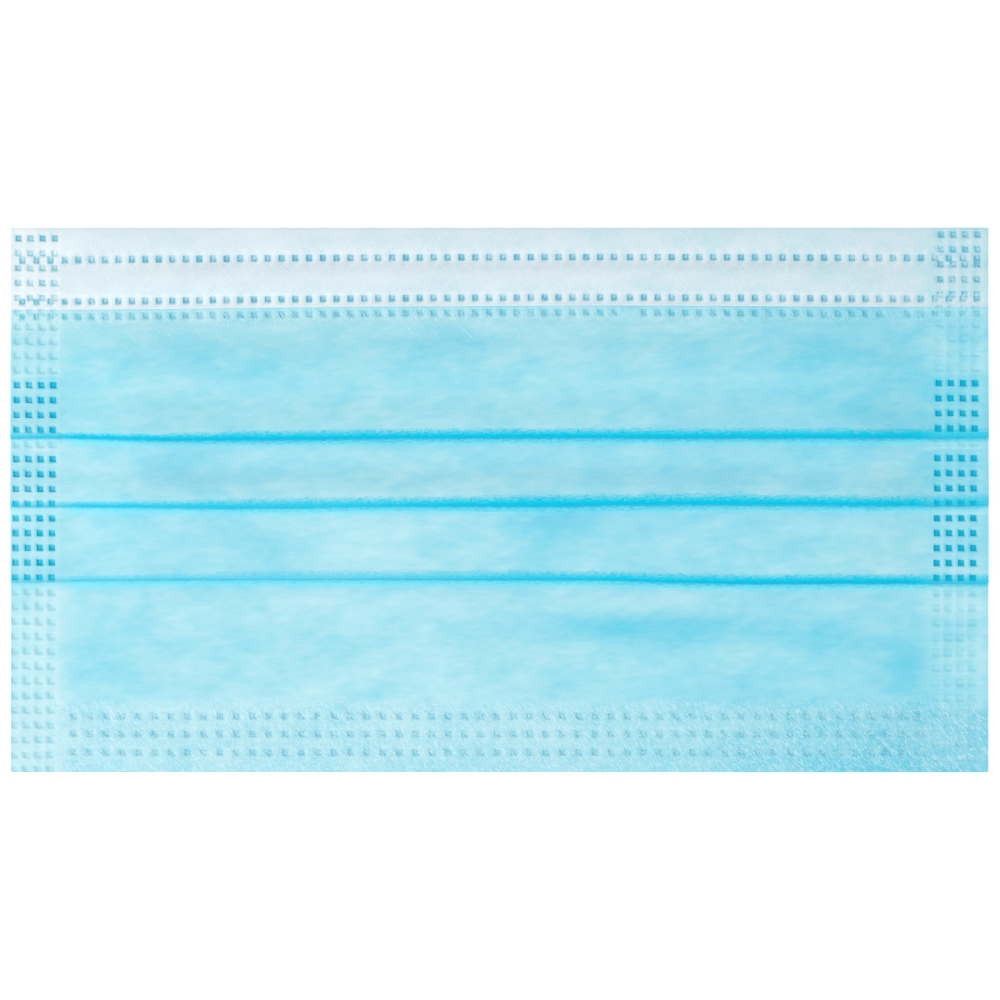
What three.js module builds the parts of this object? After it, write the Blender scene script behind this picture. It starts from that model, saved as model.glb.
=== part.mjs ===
// A flat-folded, pleated medical face mask that lies on its back with the blue side up.
// Millimetres. X runs along the width, Y up the mask to its nose edge, Z up from the back.
import * as THREE from "three";

// The folded mask
const WIDTH = 175;
const HEIGHT = 97.5;
const SEAL_WIDTH = 9.3; // welded zone along each side edge

// The cloth wall: the blue ply, the white ply and the air between them
const WALL = 1;
const PLY_GAP = 0.1;
const PLY = (WALL - PLY_GAP) / 2;

// Air between the layers of a pleat, in the seals and in the middle of the mask
const PRESSED_GAP = 0.12;
const LOOSE_GAP = 0.3;

// The white ply turned over the nose edge, which runs down the front as a band
const BAND_DROP = 14.3;
const BAND_GAP = 0.1;

// The nose wire, flat between the band and the blue ply
const WIRE_WIDTH = 3;
const WIRE_THICKNESS = 0.5;
const WIRE_TO_BAND_EDGE = 5.1; // middle of the wire to the band's cut edge
const WIRE_LEFT_INSET = 17.4; // seal to the wire's left end
const WIRE_RIGHT_INSET = 25; // wire's right end to the seal
const WIRE_CLEARANCE = 0.1;
const WIRE_FLANK = 2; // width of the band's slope on each side of the wire

// Pleats from the nose edge down, as shares of HEIGHT: where the edge of the fold shows, and how
// far the cloth runs back up under it
const PLEATS = [
  { edge: 0.386, depth: 0.107 },
  { edge: 0.512, depth: 0.096 },
  { edge: 0.651, depth: 0.12 },
];

// How the fold edges waver: across as a share of WIDTH, drops as shares of HEIGHT, one for each pleat
const WAVER = [
  { across: 0, drops: [0, 0.0005, -0.001] },
  { across: 0.3, drops: [0.001, 0.001, -0.003] },
  { across: 0.55, drops: [-0.001, -0.001, -0.002] },
  { across: 0.75, drops: [0, 0, 0.003] },
  { across: 1, drops: [-0.003, -0.004, 0.002] },
];

// Facets
const TURN_STEPS = 6; // round the half circle of a fold
const SLOPE_STEPS = 5; // along a stretch that bends
const SPANS_OVER_WIRE = 4; // across the mask, along the wire
const LEAN_ROUNDS = 6; // to settle where a leaning fold starts

const BLUE = 0x9fe0f0;
const WHITE = 0xe3eff4;
const WIRE_WHITE = 0xf2f2ee;

// Where the seals end and the wire lies
const SEAL_EDGE = WIDTH / 2 - SEAL_WIDTH;
const WIRE_LEFT = WIRE_LEFT_INSET - SEAL_EDGE;
const WIRE_RIGHT = SEAL_EDGE - WIRE_RIGHT_INSET;
const WIRE_DOWN = BAND_DROP - WIRE_TO_BAND_EDGE;

// The white ply's half circle round the blue ply's upper edge
const NOSE_TURN_AT = (WALL + BAND_GAP + PLY) / 2;

// A number part of the way from one to another
function between(from, to, share) {
  return from + (to - from) * share;
}

// How far a fold edge drops below its place in PLEATS at x
function waver(pleat, x) {
  const across = x / WIDTH + 0.5;
  const next = Math.max(1, WAVER.findIndex((row) => row.across >= across));
  const left = WAVER[next - 1];
  const right = WAVER[next];
  const share = (across - left.across) / (right.across - left.across);
  return HEIGHT * between(left.drops[pleat], right.drops[pleat], share);
}

// How loose the cloth is at x: 0 in the seals, 1 in the middle
function looseness(x) {
  const share = Math.max(0, SEAL_EDGE - Math.abs(x)) / SEAL_EDGE;
  return 1 - (1 - share) ** 3;
}

// Height and slope of what a layer lies on: level, then up along two arcs, then level again
function ground(rise, at) {
  if (!rise) return { height: 0, slope: 0 };
  const run = rise.end - rise.start;
  const radius = (run ** 2 + rise.height ** 2) / (4 * rise.height);
  const along = THREE.MathUtils.clamp(at - rise.start, 0, run);
  const fromNearEnd = Math.min(along, run - along);
  const arm = Math.sqrt(radius ** 2 - fromNearEnd ** 2);
  const lift = radius - arm;
  return { height: along < run / 2 ? lift : rise.height - lift, slope: fromNearEnd / arm };
}

// The middle line of one layer of cloth, over the ground by a fixed height. A point has its way down
// from the nose edge, its height and the direction that the blue side faces.
function layerLine(rise, over, from, to, steps, blueSide = 1) {
  return Array.from({ length: steps + 1 }, (_, step) => {
    const at = between(from, to, step / steps);
    const { height, slope } = ground(rise, at);
    const length = Math.hypot(1, slope);
    const lean = -slope / length;
    const stand = 1 / length;
    return {
      down: at + lean * over,
      up: height + stand * over,
      face: { down: lean * blueSide, up: stand * blueSide },
    };
  });
}

// The half circle between the last point of a layer and the first point of the layer under it
function foldLine(from, to, side) {
  const down = (from.down + to.down) / 2;
  const up = (from.up + to.up) / 2;
  const arm = { down: from.down - down, up: from.up - up };
  const radius = Math.hypot(arm.down, arm.up);
  const blueOut = Math.sign(arm.down * from.face.down + arm.up * from.face.up);
  return Array.from({ length: TURN_STEPS - 1 }, (_, index) => {
    const angle = (Math.PI * (index + 1)) / TURN_STEPS;
    const out = {
      down: arm.down * Math.cos(angle) + arm.up * Math.sin(angle) * side,
      up: arm.up * Math.cos(angle) - arm.down * Math.sin(angle) * side,
    };
    return {
      down: down + out.down,
      up: up + out.up,
      face: { down: (out.down / radius) * blueOut, up: (out.up / radius) * blueOut },
    };
  });
}

// The middle line of the cloth wall at x, from the nose edge to the hem
function wallLine(x) {
  const layer = WALL + between(PRESSED_GAP, LOOSE_GAP, looseness(x));
  const low = WALL / 2;
  const middle = low + layer;
  const high = middle + layer;
  const foldRadius = (layer + WALL) / 2;
  const pleats = PLEATS.map(({ edge, depth }, index) => {
    const edgeAt = HEIGHT * edge + waver(index, x);
    return { edgeAt, backAt: edgeAt - HEIGHT * depth };
  });
  // The cloth climbs onto each pleat from the hidden fold of the one above it
  const rises = pleats.map(({ backAt }, index) => ({
    start: index === 0 ? BAND_DROP : pleats[index - 1].backAt + foldRadius,
    end: backAt,
    height: 2 * layer,
  }));
  const line = [
    ...layerLine(rises[0], low, NOSE_TURN_AT, rises[0].start, 1),
    ...layerLine(rises[0], low, rises[0].start, rises[0].end, 2 * SLOPE_STEPS).slice(1, -1),
  ];
  pleats.forEach(({ edgeAt, backAt }, index) => {
    const rise = rises[index + 1];
    const turnAt = backAt + foldRadius;
    // The fold leans back with the ground, so its layers run on a little further
    let foldAt = edgeAt - foldRadius;
    for (let round = 0; round < LEAN_ROUNDS; round += 1) {
      const { slope } = ground(rise, foldAt);
      foldAt = edgeAt - foldRadius + ((low + middle + layer / 2) * slope) / Math.hypot(1, slope);
    }
    const upper = layerLine(rise, high, backAt, foldAt, SLOPE_STEPS);
    const turned = layerLine(rise, middle, foldAt, turnAt, SLOPE_STEPS, -1);
    const lowerEnd = rise ? rise.end : HEIGHT;
    const lower = layerLine(rise, low, turnAt, lowerEnd, rise ? 2 * SLOPE_STEPS : 1);
    line.push(...upper, ...foldLine(upper.at(-1), turned[0], 1));
    line.push(...turned, ...foldLine(turned.at(-1), lower[0], -1));
    line.push(...(rise ? lower.slice(0, -1) : lower));
  });
  return line;
}

// A line moved along the direction that the blue side faces
function shiftLine(line, by) {
  return line.map(({ down, up, face }) => ({
    down: down + face.down * by,
    up: up + face.up * by,
    face,
  }));
}

// How much of its height the ridge over the wire has at x
function ridgeShare(x) {
  const fromLeft = (x + SEAL_EDGE) / WIRE_LEFT_INSET;
  const fromRight = (SEAL_EDGE - x) / WIRE_RIGHT_INSET;
  return THREE.MathUtils.clamp(Math.min(fromLeft, fromRight), 0, 1);
}

// The middle line of the band at x, from its cut edge up to the nose edge, with a ridge over the wire
function bandLine(x) {
  const up = WALL + BAND_GAP + PLY / 2;
  const ridge = (WIRE_THICKNESS + 2 * WIRE_CLEARANCE - BAND_GAP) * ridgeShare(x);
  const crest = WIRE_WIDTH / 2 + WIRE_CLEARANCE;
  const foot = crest + WIRE_FLANK;
  return [
    { down: BAND_DROP, up },
    { down: WIRE_DOWN + foot, up },
    { down: WIRE_DOWN + crest, up: up + ridge },
    { down: WIRE_DOWN - crest, up: up + ridge },
    { down: WIRE_DOWN - foot, up },
    { down: NOSE_TURN_AT, up },
  ].map((point) => ({ ...point, face: { down: 0, up: -1 } }));
}

// The blue ply's middle line at x
function outerLine(x) {
  return shiftLine(wallLine(x), (PLY_GAP + PLY) / 2);
}

// The white ply's middle line at x: the band, the turn over the nose edge, then the back
function innerLine(x) {
  const band = bandLine(x);
  const back = shiftLine(wallLine(x), -(PLY_GAP + PLY) / 2);
  return [...band, ...foldLine(band.at(-1), back[0], -1), ...back];
}

// Where the cloth is cut across: the side edges, the seals' edges and steps along the wire
function stations() {
  const overWire = Array.from({ length: SPANS_OVER_WIRE + 1 }, (_, step) =>
    between(WIRE_LEFT, WIRE_RIGHT, step / SPANS_OVER_WIRE));
  return [-WIDTH / 2, -SEAL_EDGE, ...overWire, SEAL_EDGE, WIDTH / 2];
}

// A closed sheet of cloth, one PLY thick, along a middle line that changes with x
function clothGeometry(lineAt) {
  const rings = stations().map((x) => {
    const line = lineAt(x);
    const front = shiftLine(line, PLY / 2);
    const back = shiftLine(line, -PLY / 2).reverse();
    return [...front, ...back].map(({ down, up }) => [x, HEIGHT / 2 - down, up]);
  });
  const size = rings[0].length;
  const index = [];
  const addQuad = (a, b, c, d) => index.push(a, b, c, a, c, d);
  for (let ring = 0; ring < rings.length - 1; ring += 1) {
    for (let point = 0; point < size; point += 1) {
      const next = (point + 1) % size;
      const here = ring * size;
      const there = here + size;
      addQuad(here + point, here + next, there + next, there + point);
    }
  }
  const last = (rings.length - 1) * size;
  for (let point = 0; point < size / 2 - 1; point += 1) {
    const across = size - 1 - point;
    addQuad(point, across, across - 1, point + 1);
    addQuad(last + point, last + point + 1, last + across - 1, last + across);
  }
  const geometry = new THREE.BufferGeometry();
  geometry.setAttribute("position", new THREE.Float32BufferAttribute(rings.flat(2), 3));
  geometry.setIndex(index);
  geometry.computeVertexNormals();
  return geometry;
}

// The flat nose wire, cut with round ends
function wireGeometry() {
  const half = WIRE_WIDTH / 2;
  const outline = new THREE.Shape();
  outline.absarc(WIRE_RIGHT - half, 0, half, -Math.PI / 2, Math.PI / 2);
  outline.absarc(WIRE_LEFT + half, 0, half, Math.PI / 2, (3 * Math.PI) / 2);
  return new THREE.ExtrudeGeometry(outline, {
    depth: WIRE_THICKNESS,
    bevelEnabled: false,
    curveSegments: TURN_STEPS,
  });
}

function addPiece(group, name, geometry, color, roughness) {
  const material = new THREE.MeshStandardMaterial({ color, roughness, metalness: 0 });
  const piece = new THREE.Mesh(geometry, material);
  piece.name = name;
  group.add(piece);
  return piece;
}

const mask = new THREE.Group();
addPiece(mask, "outer_ply", clothGeometry(outerLine), BLUE, 0.85);
addPiece(mask, "inner_ply", clothGeometry(innerLine), WHITE, 0.85);
const wire = addPiece(mask, "nose_wire", wireGeometry(), WIRE_WHITE, 0.5);
wire.position.set(0, HEIGHT / 2 - WIRE_DOWN, WALL + WIRE_CLEARANCE);

export default mask;
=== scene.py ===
import math

import bmesh
import bpy
import numpy as np
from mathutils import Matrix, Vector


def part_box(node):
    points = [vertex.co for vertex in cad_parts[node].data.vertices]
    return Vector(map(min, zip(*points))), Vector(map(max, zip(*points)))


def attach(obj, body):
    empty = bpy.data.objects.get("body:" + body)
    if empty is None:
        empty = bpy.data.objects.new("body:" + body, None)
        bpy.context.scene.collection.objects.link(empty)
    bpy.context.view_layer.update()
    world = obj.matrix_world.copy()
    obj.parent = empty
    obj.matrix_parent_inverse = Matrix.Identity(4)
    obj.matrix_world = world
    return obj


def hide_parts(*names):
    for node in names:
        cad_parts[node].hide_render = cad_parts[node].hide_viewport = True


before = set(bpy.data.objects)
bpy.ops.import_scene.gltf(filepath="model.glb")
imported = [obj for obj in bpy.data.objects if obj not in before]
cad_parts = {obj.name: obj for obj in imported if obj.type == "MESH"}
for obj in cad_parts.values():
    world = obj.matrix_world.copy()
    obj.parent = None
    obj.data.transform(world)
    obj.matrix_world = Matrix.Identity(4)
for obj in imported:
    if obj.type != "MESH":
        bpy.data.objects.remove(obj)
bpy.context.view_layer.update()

# Inner ply
# The skin side: white polypropylene spunbond, laid behind the blue ply and turned over the nose edge as
# a band. Rollers weld the plies in rows of small squares, and the stack is pleated, sealed and cut.
MM = 0.001
corner_low, corner_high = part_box("inner_ply")
WIDTH = (corner_high.x - corner_low.x) / MM
HEIGHT = (corner_high.y - corner_low.y) / MM
SEAL_WIDTH = 9.3
SEAL_EDGE = WIDTH / 2 - SEAL_WIDTH
# The wall holds both plies, in mm, and a ply is the share of it that is meshed. The folded layers lie
# closer in the seals than between them
WALL = 1.0
PLY = 0.3
PRESSED_GAP = 0.12
LOOSE_GAP = 0.3
# The band and the hem, in mm down from the nose edge, and the height of the band's face
BAND_DROP = 13.95
BAND_TOP = 1.55
NOSE_RADIUS = BAND_TOP / 2
HEM_START = 84.6
# The ridge that the nose wire raises in the band
WIRE_DOWN = 9.2
WIRE_HALF = 1.6
WIRE_FLANK = 1.9
WIRE_LEFT = -60.8
WIRE_RIGHT = 53.2
WIRE_RISE = 0.42
# Each pleat's fold edge and depth, as shares of the height
PLEATS = ({"edge": 0.386, "depth": 0.107}, {"edge": 0.512, "depth": 0.096}, {"edge": 0.651, "depth": 0.12})
# The way from the band's cut edge to where the cloth starts to climb over the first pleat
BAND_STEP = 0.4
# How far each fold edge wavers, as shares of the height, at these shares of the width
WAVER_ACROSS = (0, 0.05, 0.15, 0.22, 0.3, 0.38, 0.55, 0.62, 0.67, 0.75, 0.9, 1)
WAVER_DROPS = (
    (-0.001, -0.0015, 0.0037, 0.0035, 0.0027, 0.0004, -0.001, -0.0008, -0.0006, -0.0012, -0.0003, -0.002),
    (-0.001, -0.0014, 0.0006, 0.0015, 0.0006, -0.0014, -0.0013, -0.0035, -0.0045, -0.0048, -0.0024,
     -0.0045),
    (-0.001, -0.003, -0.005, -0.0055, -0.0058, -0.006, -0.0052, -0.0043, -0.0006, 0.0016, 0.0008, 0.0008))
# How far the band's cut edge and its rows of welds waver, in mm, at these shares of the width
ROLL_ACROSS = (0, 0.143, 0.255, 0.369, 0.482, 0.596, 0.711, 0.882, 1)
ROLL_DROPS = (0.85, 0.66, 0.41, 0.21, 0.09, 0, 0.07, 0.27, 0.3)
# The cloth lies loose from the middle out to here, in mm
LOOSE_HALF = 62


def smooth(value, start, end):
    """0 before start, 1 after end, and a soft S between them."""
    share = np.clip((value - start) / (end - start), 0, 1)
    return share * share * (3 - 2 * share)


def pressed(x):
    """How far the side seals press the cloth flat: 1 in a seal, 0 where it is loose."""
    return smooth(np.abs(x), LOOSE_HALF, SEAL_EDGE + 1)


def roll_waver(x, down):
    """How far the rolls' waver carries the cloth down at each point, in mm. It fades out below the band."""
    fade = smooth(down, NOSE_RADIUS, 9) * (1 - smooth(down, 17, 26))
    return np.interp(x / WIDTH + 0.5, ROLL_ACROSS, ROLL_DROPS) * fade


def ground(rise, at):
    """Height and slope of what a layer lies on: level, up along two arcs, then level again."""
    if rise is None:
        return at * 0, at * 0
    start, end, height = rise
    run = end - start
    bend = (run ** 2 + height ** 2) / (4 * height)
    along = np.clip(at - start, 0, run)
    near = np.minimum(along, run - along)
    arm = np.sqrt(bend ** 2 - near ** 2)
    lift = bend - arm
    return np.where(along < run / 2, lift, height - lift), near / arm


# A fold's place depends on the slope under it, which depends on its place, so it is found in tries
FOLD_TRIES = 6


def pleat_plan(x):
    """Where the layers, folds and slopes lie at x, in mm down from the nose edge."""
    share = np.maximum(0, SEAL_EDGE - np.abs(x)) / SEAL_EDGE
    layer = WALL + PRESSED_GAP + (LOOSE_GAP - PRESSED_GAP) * (1 - (1 - share) ** 3)
    radius = (layer + WALL) / 2
    low, middle, high = WALL / 2, WALL / 2 + layer, WALL / 2 + 2 * layer
    across = x / WIDTH + 0.5
    edges = [HEIGHT * (p["edge"] + np.interp(across, WAVER_ACROSS, d)) for p, d in zip(PLEATS, WAVER_DROPS)]
    backs = [edge - HEIGHT * p["depth"] for edge, p in zip(edges, PLEATS)]
    starts = [x * 0 + BAND_DROP + BAND_STEP, backs[0] + radius, backs[1] + radius]
    rises = [(start, back, 2 * layer) for start, back in zip(starts, backs)] + [None]
    folds = []
    for edge, rise in zip(edges, rises[1:]):
        fold = edge - radius
        for _ in range(FOLD_TRIES):
            slope = ground(rise, fold)[1]
            fold = edge - radius + (low + middle + layer / 2) * slope / np.hypot(1, slope)
        folds.append(fold)
    return {"low": low + x * 0, "middle": middle, "high": high, "edges": edges, "backs": backs,
            "turns": [back + radius for back in backs], "folds": folds, "rises": rises}


# The stretches of the wall from the nose edge to the hem: what each is, and its pleat
WALL_STRETCHES = [("lead", 0), ("climb", 0)]
for pleat in range(len(PLEATS)):
    WALL_STRETCHES += [(kind, pleat) for kind in ("upper", "fold", "under", "back", "lower")]
WALL_STRETCHES += [("hem", 2)]
INNER_STRETCHES = [("band", 0), ("nose", 0)] + WALL_STRETCHES

# Welds are of four kinds. Each is a square with a sloped rim, in mm, pressed this deep as a share of
# the loose cloth's thickness
NOSE, HEM, LEFT, RIGHT = range(4)
PIN_HALF = 0.6
PIN_RIM = 0.17
PIN_DEPTHS = np.array([0.24, 0.14, 0.18, 0.12])
# The rows across are pressed by pins on a roller that has a seam
NOSE_ROWS = (5.26, 12.44, 15.08)
NOSE_PITCH = 2.482
NOSE_SEAM = 22
NOSE_SEAM_STEP = 0.38
HEM_ROWS = (87.42, 90.55, 93.89)
HEM_PITCH = 2.917
# The side seals' first column, as ways down and the x there, the pitch of the columns, and the rows
SEAL_COLUMNS = np.arange(4)
LEFT_SEAL = {"column": ((0, 97.5), (-86.05, -86.89)), "pitch": 2.165,
             "rows": np.interp(np.arange(37), (0, 4, 10, 36), (1.92, 12.6, 28.2, 96.97))}
RIGHT_SEAL = {"column": ((0, 45, 97.5), (79.05, 78.3, 78)), "pitch": 2.174,
              "rows": np.interp(np.arange(36), (0, 4, 10, 35), (1.25, 11.9, 27.84, 94.86))}
NOSE_PINS = -88.62 + NOSE_PITCH * np.arange(73)
NOSE_PINS = np.where(NOSE_PINS > NOSE_SEAM, NOSE_PINS + NOSE_SEAM_STEP, NOSE_PINS)
# The row creeps as the cloth runs under the roller: how far, in mm, at these x
NOSE_PINS = NOSE_PINS + np.interp(NOSE_PINS, (-86, -78, -70.6, -63.4, -53.6, -46.4, -28.5, 55, 74, 86),
                                  (0.77, 0.88, 0.66, 0.43, 0.18, 0.05, -0.08, -0.07, -0.15, -0.05))
NOSE_PINS = NOSE_PINS[np.abs(NOSE_PINS) < WIDTH / 2 - 0.7]
HEM_PINS = -76.24 + HEM_PITCH * np.arange(53)
# Two pins of the lowest row are worn and leave no weld
WORN_PINS = (23.4, 70.5)
LOW_PINS = NOSE_PINS[np.min(np.abs(NOSE_PINS[:, None] - np.array(WORN_PINS)), axis=1) > NOSE_PITCH / 2]


# Farther than any weld or crease matters
FAR = 9


def nearest(values, places):
    """Signed distance from each value to the nearest of the places."""
    right = np.clip(np.searchsorted(places, values), 1, len(places) - 1)
    before, after = values - places[right - 1], values - places[right]
    return np.where(np.abs(before) < np.abs(after), before, after)


def nearest_weld(x, down):
    """The weld nearest to each point: the reach to it (1 on its edge, less inside), the place in it from
    -1 to 1 across and down, its kind, and how faintly its own pin has printed, from 0 to 1."""
    found = {"reach": x * 0 + FAR, "across": x * 0, "below": x * 0, "kind": np.zeros(x.shape, int)}
    level = down - roll_waver(x, down)
    offers = []
    for row in NOSE_ROWS:
        offers.append((NOSE, nearest(x, LOW_PINS if row == NOSE_ROWS[-1] else NOSE_PINS), level - row))
    for row in HEM_ROWS:
        offers.append((HEM, nearest(x, HEM_PINS), down - row))
    for kind, seal in ((LEFT, LEFT_SEAL), (RIGHT, RIGHT_SEAL)):
        place = x - np.interp(down, *seal["column"])
        offers.append((kind, nearest(place, seal["pitch"] * SEAL_COLUMNS), nearest(down, seal["rows"])))
    for kind, across, below in offers:
        reach = np.maximum(np.abs(across), np.abs(below)) / PIN_HALF
        closer = reach < found["reach"]
        offer = {"reach": reach, "across": across / PIN_HALF, "below": below / PIN_HALF, "kind": kind}
        for key, value in offer.items():
            found[key] = np.where(closer, value, found[key])
    middle_x, middle_down = x - found["across"] * PIN_HALF, down - found["below"] * PIN_HALF
    # Any fast wave gives neighbouring pins different marks, and one pin the same mark all over
    found["faint"] = 0.5 + 0.5 * np.sin(91.7 * middle_x + 40 * np.round(middle_down))
    found["floor"] = np.clip((1 - found["reach"]) * PIN_HALF / PIN_RIM, 0, 1)
    return found


# The reach to a weld's nearest edge, and a little more, since vertices lie on that edge
ON_WELD = 1.01


def weld_sides(weld):
    """What the light on the left does to a weld: how far each point lies on the rim's left and lower
    sides, which turn from the light, and on the cloth just right of it, which the rim lifts to it."""
    inside = weld["reach"] <= ON_WELD
    shaded_rim = np.maximum(smooth(-weld["across"], 0.1, 0.7), smooth(weld["below"], 0.1, 0.7)) * inside
    lit_halo = smooth(weld["across"], 0.2, 1) * ~inside * (1 - smooth(weld["reach"], 1.5, 2.1))
    return inside, shaded_rim, lit_halo


# The cloth beside the rows of welds is this much thinner, as a share
ROW_SQUEEZE = 0.33


def squeeze(x, down):
    """How thin the cloth is pressed at each point, as a share of its loose thickness."""
    weld = nearest_weld(x, down)
    deep = PIN_DEPTHS[weld["kind"]] * weld["floor"]
    beside = 0.5 * (1 - smooth(down, 0, 2.5))
    for row in NOSE_ROWS:
        beside = np.maximum(beside, 1 - smooth(np.abs(down - roll_waver(x, down) - row), 0.5, 2.2))
    beside = np.maximum(beside, 0.6 * smooth(down, HEM_START - 1, HEM_ROWS[0] - 1))
    return (1 - ROW_SQUEEZE * beside) * (1 - deep)


# How high the loose cloth stands off the table, and how far its rolls rise and fall about that, in mm
SWELL_LIFT = 0.16
SWELL_ROLLS = 0.1


def swell(x, down):
    """Soft rolls of the loose cloth over the table, in mm. The band stays level over its wire."""
    loose = (1 - pressed(x)) * smooth(down, BAND_DROP + 1, BAND_DROP + 12)
    long_rolls = np.sin(x / 11 + down / 9) * np.sin(down / 6.5 - x / 31 + 1.3)
    short_rolls = np.sin(x / 5.2 - down / 7 + 0.7)
    return loose * (SWELL_LIFT + SWELL_ROLLS * (long_rolls + 0.6 * short_rolls))


# How much thinner the stack is in the side seals, as a share
SEAL_PRESS = 0.45


def cloth_point(stretch, share, x, depth):
    """Points of a stretch at x: the way down from the nose edge and the height, in mm, and the way down
    at which the welds are laid out. depth is 0 on the wall's blue face and 1 on its white face."""
    kind, pleat = stretch
    plan = pleat_plan(x)
    offset = WALL * (0.5 - depth)
    along, over, facing = x * 0, None, 1
    rise = plan["rises"][0 if kind in ("lead", "climb") else pleat + 1]
    turn = math.pi * share
    if kind == "band":
        at = BAND_DROP + (NOSE_RADIUS - BAND_DROP) * share
        at = at + roll_waver(x, at)
        ridge = 1 - smooth(np.abs(at - WIRE_DOWN), WIRE_HALF, WIRE_HALF + WIRE_FLANK)
        reach = np.minimum(smooth(x, -SEAL_EDGE, WIRE_LEFT), 1 - smooth(x, WIRE_RIGHT, SEAL_EDGE))
        over = BAND_TOP - WALL * (1 - depth) + WIRE_RISE * ridge * reach
        offset, rise = 0, None
    elif kind == "nose":
        at = x * 0 + NOSE_RADIUS
        reach = NOSE_RADIUS - WALL * (1 - depth)
        along, over = -reach * np.sin(turn), NOSE_RADIUS + reach * np.cos(turn)
        offset, rise = 0, None
    elif kind in ("fold", "back"):
        above, below = (plan["high"], plan["middle"]) if kind == "fold" else (plan["middle"], plan["low"])
        side = 1 if kind == "fold" else -1
        at = plan["folds" if kind == "fold" else "turns"][pleat] + x * 0
        reach = (above - below) / 2 + offset * side
        along, over = reach * np.sin(turn) * side, (above + below) / 2 + reach * np.cos(turn)
        offset = 0
    else:
        ends = {"lead": (NOSE_RADIUS, BAND_DROP, "low"), "climb": (BAND_DROP, plan["backs"][0], "low"),
                "upper": (plan["backs"][pleat], plan["folds"][pleat], "high"),
                "under": (plan["folds"][pleat], plan["turns"][pleat], "middle"),
                "lower": (plan["turns"][pleat], rise[1] if rise else HEM_START, "low"),
                "hem": (HEM_START, HEIGHT, "low")}
        start, end, level = ends[kind]
        at = start + (end - start) * share + x * 0
        if kind in ("lead", "climb"):
            at = at + roll_waver(x, at)
        over = plan[level]
        facing = -1 if kind == "under" else 1
    over = over + offset * facing
    height, slope = ground(rise, at)
    length = np.hypot(1, slope)
    spot = at + (along - slope * over) / length
    over = over * squeeze(x, spot)
    down = at + (along - slope * over) / length
    up = height + (along * slope + over) / length
    return down, up * (1 - SEAL_PRESS * pressed(x)) + swell(x, down), spot


# The mesh is laid in three zones across. Its lines, in mm apart, are closer where the cloth is in sight
ZONES = {"left": (-WIDTH / 2, -SEAL_EDGE), "middle": (-SEAL_EDGE + 0.6, 76.9), "right": (77.3, WIDTH / 2)}
EDGE_MARGIN = 0.35
BORDER_MARGIN = 0.25
LINES_SHOWN, LINES_HIDDEN = 1.4, 2.9
ROWS_SHOWN, ROWS_HIDDEN = 1.3, 2.6
LEAST_LINES, LEAST_ROWS = 0.07, 0.09
LEAST_BY_WELDS = 0.3
# How near a row of the mesh has to be to a row of welds to follow its pins
NEAR_NOSE_ROW, NEAR_HEM_ROW = 1.3, 1.2
BY_FOLDS = np.array([-1.8, -1.4, -1.05, -0.7, -0.35, 0, 0.35, 0.7, 1.05, 1.4, 1.8])
FOLD_ROWS_SHOWN, FOLD_ROWS_HIDDEN = 11, 7
# Shares tried along a stretch to find those of the rows
TRIED_SHARES = 81


def pin_lines(places, shown, spare):
    """The mesh lines that welds need: the edges of each rim, and the cloth up to spare beyond them."""
    floor = PIN_HALF - PIN_RIM
    if shown:
        shifts = (-PIN_HALF, -floor, 0, floor, PIN_HALF, PIN_HALF + EDGE_MARGIN)
    else:
        shifts = (-floor, floor, PIN_HALF + spare)
    return np.concatenate([places + shift for shift in shifts])


def spaced(lines, least, ends):
    """Sorted lines between two ends, none nearer than least to the line before."""
    kept = [ends[0]]
    for line in np.sort(lines):
        if line - kept[-1] > least and line < ends[1] - least:
            kept.append(line)
    return np.array(kept + [ends[1]])


def lines_across(zone, down, shown):
    """The x of the mesh's vertices in one of its rows."""
    ends = ZONES[zone]
    spare = NOSE_PITCH / 2 - PIN_HALF
    near_nose = min(abs(down - row) for row in NOSE_ROWS) < NEAR_NOSE_ROW
    near_hem = min(abs(down - row) for row in HEM_ROWS) < NEAR_HEM_ROW
    if zone == "middle":
        lines = [np.arange(ends[0], ends[1], LINES_SHOWN if shown else LINES_HIDDEN)]
    else:
        seal = LEFT_SEAL if zone == "left" else RIGHT_SEAL
        places = np.interp(down, *seal["column"]) + seal["pitch"] * SEAL_COLUMNS
        lines = [pin_lines(places, shown, seal["pitch"] / 2 - PIN_HALF),
                 np.array([ends[0] + BORDER_MARGIN, ends[1] - BORDER_MARGIN])]
    if near_nose:
        lines.append(pin_lines(NOSE_PINS, shown, spare))
    if near_hem and zone == "middle":
        lines.append(pin_lines(HEM_PINS, shown, HEM_PITCH / 2 - PIN_HALF))
    lines = [group[(group > ends[0]) & (group < ends[1])] for group in lines]
    if zone == "middle" and len(lines) > 1:
        welds = np.sort(np.concatenate(lines[1:]))
        lines[0] = lines[0][np.abs(nearest(lines[0], welds)) > LEAST_BY_WELDS]
    return spaced(np.concatenate(lines), LEAST_LINES, ends)


def marks_down(zone, shown):
    """The ways down at which a zone's welds need rows of the mesh."""
    rows = np.array(NOSE_ROWS + HEM_ROWS if zone == "middle" else NOSE_ROWS)
    marks = [pin_lines(rows, shown, EDGE_MARGIN), rows - PIN_HALF - EDGE_MARGIN]
    if zone != "middle":
        seal = LEFT_SEAL if zone == "left" else RIGHT_SEAL
        marks += [pin_lines(seal["rows"], shown, EDGE_MARGIN), seal["rows"] - PIN_HALF - EDGE_MARGIN]
    return np.concatenate(marks)


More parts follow.
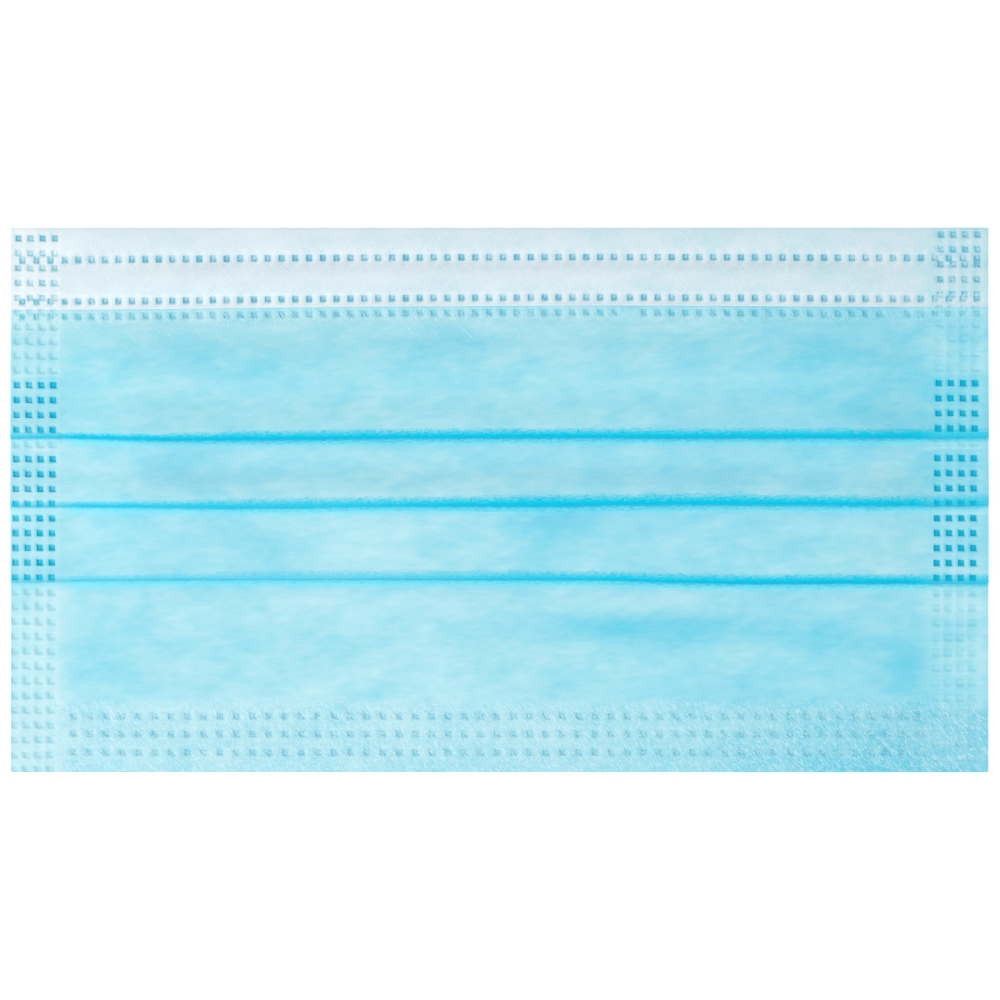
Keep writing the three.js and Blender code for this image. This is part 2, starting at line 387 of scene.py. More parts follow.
def mesh_rows(zone, stretches, shown_kinds, depth):
    """The rows of a zone's mesh from one end of the cloth to the other: stretch, share of it, whether
    it is in sight."""
    probe = np.array([np.mean(ZONES[zone])])
    edges = np.ravel(pleat_plan(probe)["edges"])
    by_folds = [edge + BY_FOLDS for edge in edges]
    rows = []
    for stretch in stretches:
        kind, pleat = stretch
        shown = kind in shown_kinds
        if kind in ("fold", "back", "nose"):
            shares = np.linspace(0, 1, FOLD_ROWS_SHOWN if shown else FOLD_ROWS_HIDDEN)
        else:
            tried = np.linspace(0, 1, TRIED_SHARES)
            spots = cloth_point(stretch, tried, probe + 0 * tried, depth)[2]
            if spots[0] > spots[-1]:
                tried, spots = tried[::-1], spots[::-1]
            marks = [np.arange(spots[0], spots[-1], ROWS_SHOWN if shown else ROWS_HIDDEN),
                     marks_down(zone, shown)]
            if shown:
                marks += by_folds
            marks = spaced(np.concatenate(marks), LEAST_ROWS, (spots[0], spots[-1]))
            shares = np.sort(np.interp(marks, spots, tried))
        for share in shares:
            if rows and share == 0:
                continue
            level = float(cloth_point(stretch, share, probe, depth)[2][0])
            in_sight = shown and not (kind == "lower" and level < edges[pleat] - 0.5)
            rows.append((stretch, share, level, in_sight))
    return rows


def lace(triangles, one, one_keys, other, other_keys):
    """Fills the strip between two lines of vertices with triangles, in the order of their keys."""
    i = j = 0
    while i < len(one) - 1 or j < len(other) - 1:
        if j == len(other) - 1 or (i < len(one) - 1 and one_keys[i + 1] <= other_keys[j + 1]):
            triangles.append((one[i], other[j], one[i + 1]))
            i += 1
        else:
            triangles.append((one[i], other[j], other[j + 1]))
            j += 1


def ply_face(stretches, depth, shown_kinds, first_vertex, triangles):
    """Adds one face of a ply to triangles. Gives its vertices and its four borders, each with keys."""
    parts, sides, count = [], {}, first_vertex
    for zone in ZONES:
        before = None
        ends = {"first": [], "last": []}
        keys = []
        for stretch, share, level, shown in mesh_rows(zone, stretches, shown_kinds, depth):
            x = lines_across(zone, level, shown)
            down, up, spot = cloth_point(stretch, share, x, depth)
            parts.append(np.column_stack([x, down, up, spot, x * 0 + stretches.index(stretch)]))
            row = list(range(count, count + len(x)))
            count += len(x)
            if before is None:
                top = (row, x)
            else:
                lace(triangles, row, x, before[0], before[1])
            before = (row, x)
            ends["first"].append(row[0])
            ends["last"].append(row[-1])
            keys.append(stretches.index(stretch) + share)
        sides[zone] = {"first": (ends["first"], keys), "last": (ends["last"], keys),
                       "top": top, "bottom": before}
    for one, other in (("left", "middle"), ("middle", "right")):
        lace(triangles, *sides[one]["last"], *sides[other]["first"])
    borders = [sides["left"]["first"], sides["right"]["last"]]
    for edge in ("top", "bottom"):
        groups = [sides[zone][edge] for zone in ZONES]
        borders.append((sum((list(row) for row, _ in groups), []), np.concatenate([x for _, x in groups])))
    return np.vstack(parts), borders


# Edges that turn by more than this many degrees, such as the rims of welds, stay sharp
SHARP_ABOVE = 32


def ply_object(name, stretches, depths, shown_kinds):
    """A ply as a closed object, and where each of its vertices lies in the cloth."""
    triangles = []
    front, front_borders = ply_face(stretches, depths[0], shown_kinds[0], 0, triangles)
    back, back_borders = ply_face(stretches, depths[1], shown_kinds[1], len(front), triangles)
    for one, other in zip(front_borders, back_borders):
        lace(triangles, *one, *other)
    grid = np.vstack([front, back])
    points = np.column_stack([grid[:, 0], HEIGHT / 2 - grid[:, 1], grid[:, 2]]) * MM
    mesh = bpy.data.meshes.new(name)
    mesh.from_pydata(points.tolist(), [], triangles)
    shell = bmesh.new()
    shell.from_mesh(mesh)
    bmesh.ops.recalc_face_normals(shell, faces=shell.faces)
    shell.to_mesh(mesh)
    shell.free()
    mesh.shade_smooth()
    mesh.set_sharp_from_angle(angle=math.radians(SHARP_ABOVE))
    cloth = bpy.data.objects.new(name, mesh)
    bpy.context.scene.collection.objects.link(cloth)
    kinds = np.array([kind for kind, _ in stretches])[grid[:, 4].astype(int)]
    return cloth, {"x": grid[:, 0], "down": grid[:, 3], "kind": kinds}


def paint(cloth, name, values):
    """Stores one number per vertex for the cloth's material."""
    cloth.data.attributes.new(name, "FLOAT", "POINT").data.foreach_set("value", np.asarray(values, float))


def linear(value):
    """One channel of an sRGB colour, from 0 to 255, as light from 0 to 1."""
    value /= 255
    return value / 12.92 if value <= 0.04045 else ((value + 0.055) / 1.055) ** 2.4


def srgb(code):
    """A colour written as sRGB hex, as linear light."""
    return tuple(linear(int(code[i:i + 2], 16)) for i in (1, 3, 5)) + (1.0,)


def node(tree, kind, inputs, stops=(), **settings):
    """Adds a node with its settings. inputs are values, sockets, or nodes whose first output is taken.
    stops are the places and colours along a colour ramp, which starts out with two of them."""
    made = tree.nodes.new("ShaderNode" + kind)
    for name, value in settings.items():
        setattr(made, name, value)
    for number, (place, code) in enumerate(stops):
        elements = made.color_ramp.elements
        stop = elements[number] if number < 2 else elements.new(place)
        stop.position, stop.color = place, srgb(code)
    for socket, value in inputs.items():
        if isinstance(value, bpy.types.Node):
            value = next(output for output in value.outputs if output.enabled)
        if isinstance(value, bpy.types.NodeSocket):
            tree.links.new(value, made.inputs[socket])
        else:
            made.inputs[socket].default_value = value
    return made


def surface(name):
    """A new material, with its node tree and its shader."""
    made = bpy.data.materials.new(name)
    made.use_nodes = True
    return made, made.node_tree, made.node_tree.nodes["Principled BSDF"]


def finish_of(shader, roughness, ior, specular):
    """Sets how rough and how glossy a surface is."""
    shader.inputs["Roughness"].default_value = roughness
    shader.inputs["IOR"].default_value = ior
    shader.inputs["Specular IOR Level"].default_value = specular


def web(tree, angle, length, width, detail=2.0):
    """Noise drawn out along the filaments: how they turn from the x axis, and the size of its
    patches in mm."""
    laid = node(tree, "Mapping", {"Vector": node(tree, "TexCoord", {}).outputs["Object"],
                                  "Rotation": (0, 0, math.radians(angle)),
                                  "Scale": (length * MM, width * MM, width * MM)}, vector_type="TEXTURE")
    return node(tree, "TexNoise", {"Vector": laid, "Scale": 1.0, "Detail": detail, "Roughness": 0.55})


def about(tree, start, *terms):
    """Adds terms, each a noise with the swing it has about zero, to a start value."""
    total = start
    for noise, swing in terms:
        centred = node(tree, "Math", {0: noise, 1: swing, 2: -0.5 * swing}, operation="MULTIPLY_ADD")
        total = node(tree, "Math", {0: total, 1: centred}, operation="ADD")
    return total


def melted(tree, amount):
    """Adds the uneven melting of the plies to an amount, inside the welds alone."""
    fused = node(tree, "Attribute", {}, attribute_name="fused").outputs["Fac"]
    uneven = node(tree, "Math", {0: web(tree, angle=45, length=0.5, width=0.22), 1: 0.9, 2: -0.45},
                  operation="MULTIPLY_ADD")
    return node(tree, "Math", {0: uneven, 1: fused, 2: amount}, operation="MULTIPLY_ADD")


# A filament is a tube of so many rings of three points. Its middle stands off the cloth by the lift, its
# ends are sunk in it, and its height and bend are shares of its width and length
TUBE_RINGS = 5
LIFT = (0.02, 0.09)
SUNK = 0.02
TUBE_RISE = 0.22
TUBE_BEND = 0.12
# How near it comes to the sides of the mask, in mm, and to the ends of its stretch, as a share
SIDE_FREE = 0.1
END_FREE = 0.004


def filaments(name, stretch, ends, x, down, turn, length, width, material):
    """Loose filaments lying on a stretch as thin three-sided tubes. turn is each one's angle in degrees,
    clockwise from the x axis. They are drawn coarser than their real 0.02 mm, which no picture shows."""
    turn = np.radians(turn)
    bend = SEED.normal(0, TUBE_BEND, len(x)) * length
    lift = SEED.uniform(*LIFT, len(x))
    farthest = WIDTH / 2 - SIDE_FREE
    rings = []
    for step in np.linspace(0, 1, TUBE_RINGS):
        along, aside = (step - 0.5) * length, bend * 4 * step * (1 - step)
        at_x = np.clip(x + along * np.cos(turn) - aside * np.sin(turn), -farthest, farthest)
        at_down = down + along * np.sin(turn) + aside * np.cos(turn)
        share = np.clip((at_down - ends[0]) / (ends[1] - ends[0]), END_FREE, 1 - END_FREE)
        fall, up, _ = cloth_point(stretch, share, at_x, 1.0 if stretch[0] == "band" else 0.0)
        up = up + lift * np.sin(math.pi * (0.15 + 0.7 * step)) - SUNK
        for side, rise in ((-0.5, 0), (0.5, 0), (0, TUBE_RISE)):
            point_x = at_x - side * width * np.sin(turn)
            point_y = HEIGHT / 2 - fall - side * width * np.cos(turn)
            rings.append(np.column_stack([point_x, point_y, up + rise * width]))
    points = np.stack(rings, axis=1)
    last = 3 * (TUBE_RINGS - 1)
    tube = [(0, 1, 2), (last, last + 2, last + 1)]
    for ring in range(0, last, 3):
        for side in range(3):
            after = (side + 1) % 3
            tube.append((ring + side, ring + 3 + side, ring + 3 + after, ring + after))
    faces = []
    for first in range(0, len(x) * len(rings), len(rings)):
        faces += [tuple(first + corner for corner in face) for face in tube]
    mesh = bpy.data.meshes.new(name)
    mesh.from_pydata((points.reshape(-1, 3) * MM).tolist(), [], faces)
    mesh.materials.append(material)
    strands = bpy.data.objects.new(name, mesh)
    bpy.context.scene.collection.objects.link(strands)
    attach(strands, "root")
    return strands


def joined(name, pieces):
    """Joins objects into the first one."""
    with bpy.context.temp_override(active_object=pieces[0], selected_editable_objects=pieces):
        bpy.ops.object.join()
    pieces[0].name = name
    return pieces[0]


inner, laid = ply_object("inner_ply_cloth", INNER_STRETCHES, (1.0, 1.0 - PLY), (("band", "nose"), ()))
x, down = laid["x"], laid["down"]
weld = nearest_weld(x, down)
_, shaded_rim, lit_halo = weld_sides(weld)
front = (laid["kind"] == "band") | (laid["kind"] == "nose")
# How far the blue ply shows through the white one, from 0 to 1: more towards the right and in the right
# seal, less at the left edge, below the second row of welds and over the wire. Pressed welds are
# see-through, most of all the dark ones of the band. Painted shade and a painted highlight are added at
# the welds below
BAND_SHOW = 0.3
BACK_SHOW = 0.1
PALE_WELD_SHOW = 0.5
DARK_WELD_SHOW = 0.74
show_and_painted_light = BAND_SHOW + 0.13 * smooth(x, -60, 88) - 0.1 * (1 - smooth(x, -87, -70)) + 0.12 * smooth(x, 74, 80)
show_and_painted_light = show_and_painted_light - 0.04 * smooth(down, 10.9, 12.2) - 0.02 * (1 - smooth(np.abs(down - WIRE_DOWN), 1.2, 2.2))
pale_seal = (weld["kind"] == LEFT) & (down > 4) | (weld["kind"] == RIGHT) & (down > 12)
deepest = np.where(pale_seal, PALE_WELD_SHOW, DARK_WELD_SHOW)
# The floors of the welds are see-through, and a painted highlight pales the cloth just right of each weld
show_and_painted_light = show_and_painted_light + (deepest - show_and_painted_light) * weld["floor"] - 0.12 * lit_halo
# A weld prints bluer on its rim, with painted shade on the sides turned from the light, paler where faint
print_and_shade = 0.12 * shaded_rim + 0.2 * smooth(weld["reach"], 0.4, 0.8) - 0.2 * weld["faint"]
show_and_painted_light = show_and_painted_light + print_and_shade * weld["floor"]
paint(inner, "show_and_painted_light", np.where(front, show_and_painted_light, BACK_SHOW + 0.12 * weld["floor"]))
# Painted shade on the band's weld rims that turn from the light, and in the welds on the back face
paint(inner, "shade", np.where(front, 0.2 * shaded_rim, 0.1 * weld["floor"]))
paint(inner, "fused", weld["floor"])

# White polypropylene, spun and pressed between heated rollers: matt, and cloudy where the web of
# filaments is thin enough to let the blue through. The filaments are 0.02 mm thick, too fine to show,
# so they are drawn 0.3 to 0.45 mm wide; the blotches have the size of those of the real web
white_spunbond, tree, shader = surface("white_spunbond_calendered")
blotches = web(tree, angle=12, length=7.0, width=4.0, detail=3.0)
flecks = web(tree, angle=-58, length=1.7, width=0.45)
strands = web(tree, angle=24, length=2.2, width=0.3)
amount = about(tree, node(tree, "Attribute", {}, attribute_name="show_and_painted_light").outputs["Fac"],
               (blotches, 0.34), (flecks, 0.12), (strands, 0.1))
amount = melted(tree, amount)
tone = node(tree, "ValToRGB", {"Fac": amount},
            stops=((0.0, "#f4f8fa"), (0.18, "#e3f0f5"), (0.36, "#d5e6ed"), (0.56, "#b4dfe9"),
                   (0.74, "#90cedf"), (1.0, "#6fbcd3")))
# Inputs 6 and 7 of a mix are its two colours
shaded = node(tree, "Mix", {0: node(tree, "Attribute", {}, attribute_name="shade").outputs["Fac"],
                            6: tone, 7: srgb("#4aa6c2")}, data_type="RGBA")
tree.links.new(shaded.outputs[2], shader.inputs["Base Color"])
# How far the filaments stand out of the web, in mm, and how much of that the light shows
WEB_RELIEF = 0.12
RELIEF_SHOWN = 0.85
POLYPROPYLENE_IOR = 1.49
WEB_GLOSS = 0.05
relief = about(tree, 0.5, (flecks, 0.7), (strands, 0.6))
bump = node(tree, "Bump", {"Height": relief, "Strength": RELIEF_SHOWN, "Distance": WEB_RELIEF * MM})
tree.links.new(bump.outputs[0], shader.inputs["Normal"])
finish_of(shader, roughness=0.8, ior=POLYPROPYLENE_IOR, specular=WEB_GLOSS)
inner.data.materials.append(white_spunbond)
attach(inner, "root")
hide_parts("inner_ply")

# Filaments drawn out of the plies by the rollers, over the band and from under its cut edge. Spun
# polypropylene is smooth, so a loose one catches the light as a fine pale line. They lean mostly this
# way or that, in degrees
SEED = np.random.default_rng(11)
FILAMENT_ROUGHNESS = 0.6
white_filament, _, shader = surface("white_filament_spun")
shader.inputs["Base Color"].default_value = srgb("#f0fbff")
shader.inputs["Roughness"].default_value = FILAMENT_ROUGHNESS
BAND_COUNT = 900
FUZZ_HALF = 86
BAND_LEANS = (58, -52, 40)
x = SEED.uniform(-FUZZ_HALF, FUZZ_HALF, BAND_COUNT)
down = SEED.uniform(1.5, 13.4, BAND_COUNT)
turn = SEED.choice(BAND_LEANS, BAND_COUNT) + SEED.normal(0, 14, BAND_COUNT)
length = SEED.uniform(0.8, 2.2, BAND_COUNT)
width = SEED.uniform(0.03, 0.07, BAND_COUNT)
over_band = filaments("over_band", ("band", 0), (BAND_DROP, NOSE_RADIUS), x, down, turn, length, width,
                      white_filament)
# The blue ones are deeper in colour towards the right, as their ply is
pale_filament, tree, shader = surface("pale_blue_filament_spun")
across = node(tree, "SeparateXYZ", {0: node(tree, "TexCoord", {}).outputs["Object"]})
across = node(tree, "MapRange", {"Value": across, "From Min": 0.0, "From Max": 75 * MM,
                                 "To Min": 0.0, "To Max": 1.0})
tone = node(tree, "ValToRGB", {"Fac": across}, stops=((0.0, "#cbf6fd"), (1.0, "#a6ebf8")))
tree.links.new(tone.outputs[0], shader.inputs["Base Color"])
shader.inputs["Roughness"].default_value = FILAMENT_ROUGHNESS
EDGE_COUNT = 900
# Most lie to the left, and near the cut edge
x = FUZZ_HALF - 2 * FUZZ_HALF * SEED.random(EDGE_COUNT) ** 1.25
down = 14.9 + SEED.gamma(1.6, 0.75, EDGE_COUNT)
turn = SEED.normal(58, 12, EDGE_COUNT)
length = SEED.uniform(0.9, 2.6, EDGE_COUNT)
width = SEED.uniform(0.04, 0.1, EDGE_COUNT)
from_edge = filaments("from_edge", ("climb", 0), (BAND_DROP, 27.2), x, down, turn, length, width,
                      pale_filament)
band_fuzz = joined("band_fuzz", [over_band, from_edge])

# Nose wire
# A flat strip of white polyethylene with a steel core, laid in the band before it is welded down. It
# stays as the solids have it, since the cloth covers it on all sides.

# Extruded polyethylene is smooth, with a soft waxy gloss
wire_plastic, _, shader = surface("white_polyethylene_extruded")
shader.inputs["Base Color"].default_value = srgb("#f2f2ee")
shader.inputs["Roughness"].default_value = 0.35
shader.inputs["IOR"].default_value = 1.51
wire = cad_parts["nose_wire"]
for held_slot in wire.material_slots:
    held_slot.material = wire_plastic
if not wire.material_slots:
    wire.data.materials.append(wire_plastic)

# Outer ply
# The front: blue polypropylene spunbond, folded into three pleats with the inner ply, welded in rows at
# the nose and the hem and in four columns at each side, and cut square.
OUTER_SHOWN = ("climb", "upper", "fold", "lower", "hem")
outer, laid = ply_object("outer_ply_cloth", WALL_STRETCHES, (0.0, PLY), (OUTER_SHOWN, ()))
x, down = laid["x"], laid["down"]
weld = nearest_weld(x, down)
inside, shaded_rim, lit_halo = weld_sides(weld)
plan = pleat_plan(x)
# Where the pleats make the mask three thicknesses of cloth thick, from just behind each back fold
three_thick = np.zeros(x.shape)
for back, edge in zip(plan["backs"], plan["edges"]):
    three_thick = three_thick + ((down > back - 0.4) & (down < edge))
in_seal = np.maximum(1 - smooth(x, -79.4, -75), smooth(x, 73.6, 78))
on_right = x > 0
# Patches where the web is thicker or thinner: x, way down, half length and half height in mm, more dye
PATCHES = (
    (-69, 22.5, 10.7, 1.3, 0.1), (-48, 24.6, 13.4, 3.9, 0.1), (-9.6, 23.9, 6.8, 4.5, 0.1),
    (58.4, 21.1, 5.4, 3.2, 0.16), (66.8, 34.1, 4.3, 2.1, 0.1), (-56, 43.8, 6.4, 3.9, 0.09),
    (39.5, 42.4, 3.2, 2.9, 0.08), (-42.3, 56.9, 3.6, 3.9, 0.07), (9, 55.1, 5.4, 4.5, 0.08),
    (-45, 75.5, 23, 2.5, 0.05), (24, 71.7, 20.6, 2.3, 0.26), (57.4, 73.5, 9, 3, 0.09),
    (-69, 77.1, 9, 6.4, 0.09), (74, 78.9, 3.9, 4.8, 0.14), (-19, 67.6, 20.6, 2, -0.08),
    (27, 66.3, 9.8, 2, -0.08), (-32, 81.2, 5.4, 2.5, -0.06), (-74, 43, 5, 3, -0.1),
    (69, 43, 6, 3, -0.08), (70, 96.5, 35, 2.2, 0.09), (70, 55.5, 20, 9, -0.14),
    (-22, 54, 13, 8, -0.12), (78, 62, 10, 3, -0.1), (-52, 86, 30, 6, -0.05),
    (-18, 78, 9, 3, -0.08), (-17, 66, 9, 3, 0.04), (16, 42.5, 5, 3.5, 0.07),
    (32, 81.5, 12, 3.5, 0.09), (32, 17, 23, 2.2, -0.08), (10.5, 51.8, 9, 3.2, 0.15),
    (-84, 55, 8, 6, -0.08))
PATCH_FADE = 0.8
# How deep the blue looks, from 0 to 1, as dye, with painted shade and a painted highlight added at the
# welds below. It is deeper towards the right and in the thick parts of the right seal, and paler where a
# seal is thin, in the hem, above the hem and just under the band
PLAIN_DYE = 0.25
dye_and_painted_light = PLAIN_DYE + 0.14 * smooth(x, 0, 88) + 0.03 * in_seal * three_thick * on_right
dye_and_painted_light = dye_and_painted_light - np.where(on_right, 0.08, 0.11) * in_seal * (1 - three_thick)
in_hem = smooth(down, HEM_START - 1, HEM_START + 3)
dye_and_painted_light = dye_and_painted_light + in_hem * (0.1 * smooth(x, 0, 75) - 0.06) - 0.04 * smooth(down, 63, 66) * (1 - in_hem)
dye_and_painted_light = dye_and_painted_light - 0.09 * (1 - smooth(down, 16.5, 21)) * (1 - smooth(x, -75, 60))
for at_x, at_down, half_x, half_down, more in PATCHES:
    away = ((x - at_x) / half_x) ** 2 + ((down - at_down) / half_down) ** 2
    dye_and_painted_light = dye_and_painted_light + more * np.exp(-PATCH_FADE * away)
# The right seal's welds through one thickness show as little more than their upper and lower edges,
# which take painted shade, the lower more
shaded_dashes = smooth(np.abs(weld["below"]), 0.1, 0.7) * np.where(weld["below"] > 0, 1, 0.5) * inside
shaded_dashes = shaded_dashes * (1 - 0.75 * weld["faint"])
shaded_rim = np.where((weld["kind"] == RIGHT) & (three_thick == 0), shaded_dashes, shaded_rim)
seal_weld = weld["kind"] >= LEFT
thick_weld = seal_weld & (three_thick > 0)


def by_weld(thick, thin, nose, hem):
    """A value for each point by its nearest weld: in a thick or a thin part of a seal, or in a row."""
    return np.select([thick_weld, seal_weld, weld["kind"] == NOSE], [thick, thin, nose], hem)


# The left seal's welds print paler towards the edge of the mask
paler = 0.14 * weld["faint"] + 0.16 * (1 - smooth(x, -86.5, -79.5))
deepest = by_weld(thick=0.86 + np.where(on_right, 0.06, -paler), thin=np.where(on_right, 0.26, 0.14),
                  nose=0.34 + 0.16 * smooth(x, 0, 70), hem=0.26)
# Welds: a painted highlight just right of each, and painted shade on the rims turned from the light
dye_and_painted_light = dye_and_painted_light + (deepest - dye_and_painted_light) * weld["floor"] - 0.08 * lit_halo
dye_and_painted_light = dye_and_painted_light + by_weld(thick=0.16, thin=0.06, nose=0.03, hem=0.03) * shaded_rim
paint(outer, "dye_and_painted_light", dye_and_painted_light)
# The grey of the shadow in the welds and on their rims, in the hem and on the lower half of the mask
shade = by_weld(thick=np.where(on_right, 0.3, 0.12), thin=0.02, nose=0.24, hem=0.17) * weld["floor"]
shade = shade + by_weld(thick=0.15, thin=0.12, nose=0.15, hem=0.15) * shaded_rim
paint(outer, "shade", shade + 0.02 * smooth(down, 50, 60) + in_hem * (0.04 + 0.08 * smooth(x, 20, 80)))
# Distance from the nearest crease, in mm. A crease looks deeper than the flat cloth, partly from its
# stacked layers and partly as painted shade, which also falls on the cloth just below it; that fades
# sooner below it and at the left, and the second crease is wider at the right
FADE_BELOW = 1.6
SECOND_WIDER = 0.17
crease = x * 0 + FAR
for number, edge in enumerate(plan["edges"]):
    away = np.where(down < edge, edge - down, FADE_BELOW * (down - edge) + 0.1)
    wider = SECOND_WIDER * smooth(x, -15, 5) * (1 - 0.6 * smooth(x, 30, 60)) if number == 1 else 0
    crease = np.minimum(crease, away * (1 - wider))
paint(outer, "crease", crease * (1.8 - 0.8 * smooth(x, -80, -40)))
# The creases' deeper colour and painted shade are weaker in the seals, and at the left in the lower two
# strips between them
middle_left = (down > plan["backs"][1]) * (down < plan["backs"][2]) * (1 - smooth(x, -40, 5))
last_left = (down > plan["backs"][2]) * (1 - smooth(x, -40, 45))
paint(outer, "crease_dye_and_shade", (1 - 0.3 * in_seal) * (1 - 0.2 * middle_left) * (1 - 0.5 * last_left))
# Light that comes through the folded plies glows on the cloth just below a crease
glow = x * 0
for edge in plan["edges"]:
    glow = np.maximum(glow, smooth(down - edge, 0, 0.35) * (1 - smooth(down - edge, 0.5, 2.0)))
paint(outer, "glow", 0.8 * glow * (1 - 0.6 * in_seal))
# Loose filaments lie on the hem, and half as many under the band
on_hem = smooth(down, HEM_START - 1.2, HEM_START + 1.2)
under_band = 1 - smooth(down, BAND_DROP + 1.5, BAND_DROP + 4)
paint(outer, "fringe", on_hem + 0.5 * under_band)
paint(outer, "fused", weld["floor"] * np.where(thick_weld, 1, 0.3))

# Blue polypropylene, spun and pressed between heated rollers: matt, streaked along the web, and deeper
# in colour where it has melted and where it turns into a crease, there partly as painted shade. Painted
# shade and highlight mark the welds. The filaments are 0.02 mm thick, too fine to show, so they are
# drawn 0.25 to 0.3 mm wide; the clouds have the size of those of the real web
blue_spunbond, tree, shader = surface("blue_spunbond_calendered")
clouds = web(tree, angle=4, length=9.0, width=4.5, detail=3.0)
blotches = web(tree, angle=5, length=3.2, width=1.4, detail=3.0)
strands = web(tree, angle=9, length=2.2, width=0.3)
flecks = web(tree, angle=-58, length=1.3, width=0.3)
crossed = web(tree, angle=-35, length=1.0, width=0.3)
frayed = web(tree, angle=4, length=1.0, width=0.25)
held = {name: node(tree, "Attribute", {}, attribute_name=name).outputs["Fac"]
        for name in ("dye_and_painted_light", "shade", "crease", "crease_dye_and_shade", "glow", "fringe")}
amount = about(tree, held["dye_and_painted_light"], (clouds, 0.42), (blotches, 0.26), (strands, 0.1))
amount = melted(tree, amount)
distance = about(tree, held["crease"], (frayed, 1.3))
creased = node(tree, "MapRange", {"Value": distance, "From Min": 0.3, "From Max": 1.75,
                                  "To Min": 1.0, "To Max": 0.0})
# Specks of denser filaments where the cloth turns into a crease
half_creased = node(tree, "Math", {0: 1.0, 1: creased}, operation="SUBTRACT")
half_creased = node(tree, "Math", {0: half_creased, 1: creased}, operation="MULTIPLY")
specks = node(tree, "MapRange", {"Value": web(tree, angle=20, length=0.5, width=0.3), "From Min": 0.5,
                                 "From Max": 0.66, "To Min": 0.0, "To Max": 1.4})
creased = node(tree, "Math", {0: half_creased, 1: specks, 2: creased}, operation="MULTIPLY_ADD")
creased = node(tree, "Math", {0: creased, 1: held["crease_dye_and_shade"]}, operation="MULTIPLY")
# Inputs 2 and 3 of a mix are its two numbers
# How deep a crease's colour goes: its stacked layers, with painted shade
CREASE_DYE_AND_SHADE = 0.97
amount = node(tree, "Mix", {0: creased, 2: amount, 3: CREASE_DYE_AND_SHADE})
tone = node(tree, "ValToRGB", {"Fac": amount},
            stops=((0.0, "#c8edf4"), (0.25, "#a3e1ee"), (0.45, "#82d7eb"), (0.75, "#3ccbe6"),
                   (0.9, "#08c9e8"), (1.0, "#06bfe2")))
shaded = node(tree, "Mix", {0: held["shade"], 6: tone, 7: srgb("#1c9ab8")}, data_type="RGBA")
glow = node(tree, "MapRange", {"Value": frayed, "From Min": 0.35, "From Max": 0.62,
                               "To Min": 0.55, "To Max": 1.15})
glow = node(tree, "Math", {0: held["glow"], 1: glow}, operation="MULTIPLY")
glowing = node(tree, "Mix", {0: glow, 6: shaded.outputs[2], 7: srgb("#84f4ff")}, data_type="RGBA")
# The loose filaments on the hem and under the band, drawn coarser than their real 0.02 mm
tangle = node(tree, "Math", {0: flecks, 1: crossed}, operation="MAXIMUM")
tips = node(tree, "MapRange", {"Value": tangle, "From Min": 0.55, "From Max": 0.7,
                               "To Min": 0.0, "To Max": 0.6})
tips = node(tree, "Math", {0: tips, 1: held["fringe"]}, operation="MULTIPLY")
topped = node(tree, "Mix", {0: tips, 6: glowing.outputs[2], 7: srgb("#dcf1f8")}, data_type="RGBA")
tree.links.new(topped.outputs[2], shader.inputs["Base Color"])
relief = about(tree, 0.5, (blotches, 0.6), (strands, 0.5))
fringed = node(tree, "Math", {0: tangle, 1: held["fringe"]}, operation="MULTIPLY")
relief = node(tree, "Math", {0: fringed, 1: 1.0, 2: relief}, operation="MULTIPLY_ADD")
bump = node(tree, "Bump", {"Height": relief, "Strength": RELIEF_SHOWN, "Distance": WEB_RELIEF * MM})
tree.links.new(bump.outputs[0], shader.inputs["Normal"])
finish_of(shader, roughness=0.75, ior=POLYPROPYLENE_IOR, specular=WEB_GLOSS)
outer.data.materials.append(blue_spunbond)
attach(outer, "root")
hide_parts("outer_ply")

# Filaments roughed up by the three rows of welds on the hem, most of them leaning the same way
HEM_COUNT = 4200
SAME_WAY = 0.75
turn = np.where(SEED.random(HEM_COUNT) < SAME_WAY, SEED.normal(56, 11, HEM_COUNT),
                SEED.uniform(-70, 40, HEM_COUNT))
x = SEED.uniform(-80, 84, HEM_COUNT)
down = SEED.uniform(HEM_START + 0.4, HEIGHT - 0.7, HEM_COUNT)
length = SEED.uniform(0.6, 1.9, HEM_COUNT)
width = SEED.uniform(0.05, 0.1, HEM_COUNT)
hem_fuzz = filaments("hem_fuzz", ("hem", 2), (HEM_START, HEIGHT), x, down, turn, length, width,
                     pale_filament)

# Floor, light and camera
# White paper under a white tent, with one large softbox low on the left of the camera, which looks
# straight down on the mask.

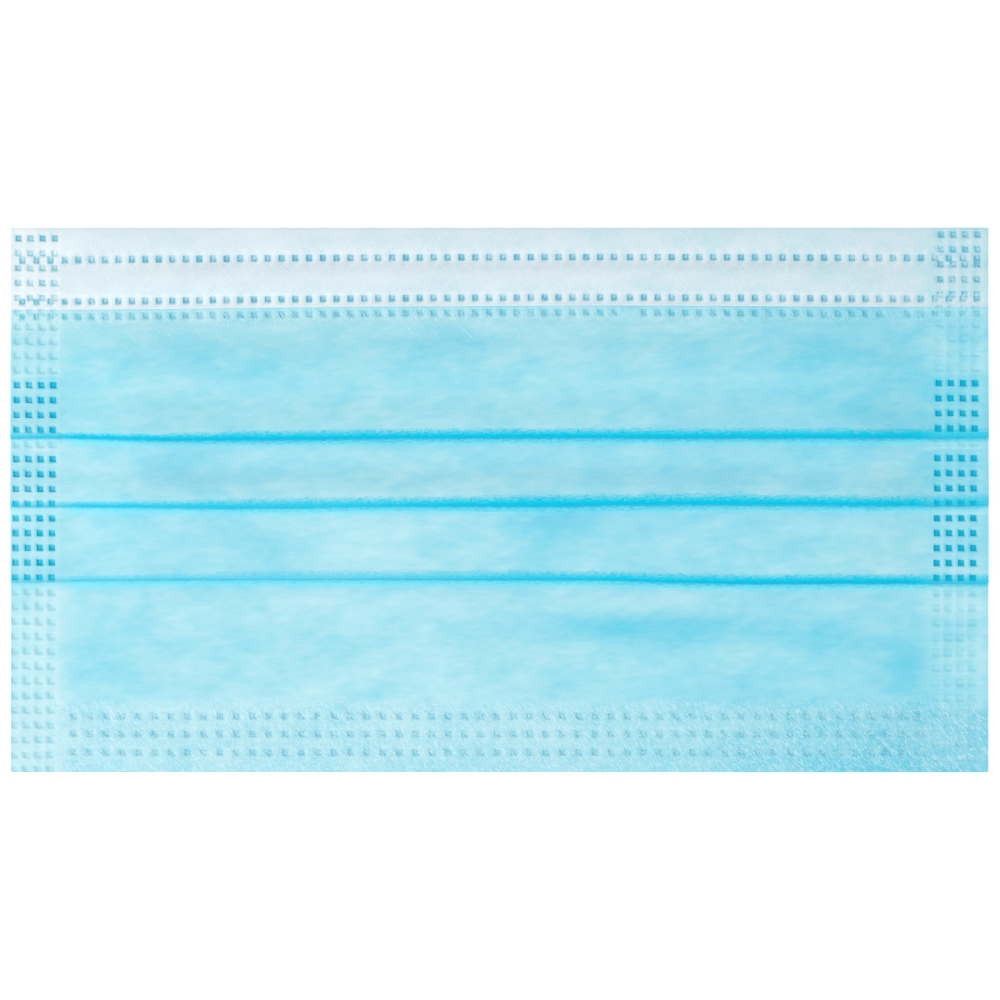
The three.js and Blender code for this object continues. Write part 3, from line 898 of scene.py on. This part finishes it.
# Half the side of the floor, in metres, and how far it lies below the mask, in mm
FLOOR_HALF = 2
FLOOR_GAP = 0.02
floor_mesh = bpy.data.meshes.new("floor")
corners = [(-FLOOR_HALF, -FLOOR_HALF, 0), (FLOOR_HALF, -FLOOR_HALF, 0),
           (FLOOR_HALF, FLOOR_HALF, 0), (-FLOOR_HALF, FLOOR_HALF, 0)]
floor_mesh.from_pydata(corners, [], [(0, 1, 2, 3)])
floor = bpy.data.objects.new("floor", floor_mesh)
floor.location.z = -FLOOR_GAP * MM
bpy.context.scene.collection.objects.link(floor)
# Matt paper, lit from below so that it stays white, as the photo's ground is
PAPER_GLOW = 0.3
white_paper, _, shader = surface("white_paper")
shader.inputs["Base Color"].default_value = srgb("#fcfcfc")
shader.inputs["Roughness"].default_value = 0.9
shader.inputs["Emission Color"].default_value = srgb("#ffffff")
shader.inputs["Emission Strength"].default_value = PAPER_GLOW
floor_mesh.materials.append(white_paper)
TENT_STRENGTH = 0.82
tent = bpy.data.worlds.new("tent")
bpy.context.scene.world = tent
tent.use_nodes = True
walls = tent.node_tree.nodes["Background"]
walls.inputs["Color"].default_value = srgb("#ffffff")
walls.inputs["Strength"].default_value = TENT_STRENGTH
# The softbox, in metres and watts
SOFTBOX_SIZE = 0.7
SOFTBOX_POWER = 7.4
SOFTBOX_PLACE = (-0.95, -0.55, 1.0)
softbox = bpy.data.lights.new("softbox", "AREA")
softbox.shape = "DISK"
softbox.size = SOFTBOX_SIZE
softbox.energy = SOFTBOX_POWER
lamp = bpy.data.objects.new("softbox", softbox)
lamp.location = SOFTBOX_PLACE
lamp.rotation_mode = "QUATERNION"
lamp.rotation_quaternion = lamp.location.to_track_quat("Z", "Y")
bpy.context.scene.collection.objects.link(lamp)
# A long lens from afar, in mm, and the width of the picture and of the mask in it, in pixels. The mask
# stands half a pixel left of the middle
LENS_LENGTH = 400
SENSOR_WIDTH = 36
PICTURE_PIXELS = 1000
MASK_PIXELS = 978
PIXEL = WIDTH / MASK_PIXELS
lens = bpy.data.cameras.new("camera")
lens.lens = LENS_LENGTH
lens.sensor_width = SENSOR_WIDTH
camera = bpy.data.objects.new("camera", lens)
camera.location = (0.5 * PIXEL * MM, 0, PICTURE_PIXELS * PIXEL * MM * LENS_LENGTH / SENSOR_WIDTH + MM)
bpy.context.scene.collection.objects.link(camera)
bpy.context.scene.camera = camera
bpy.context.scene.view_settings.view_transform = "Standard"
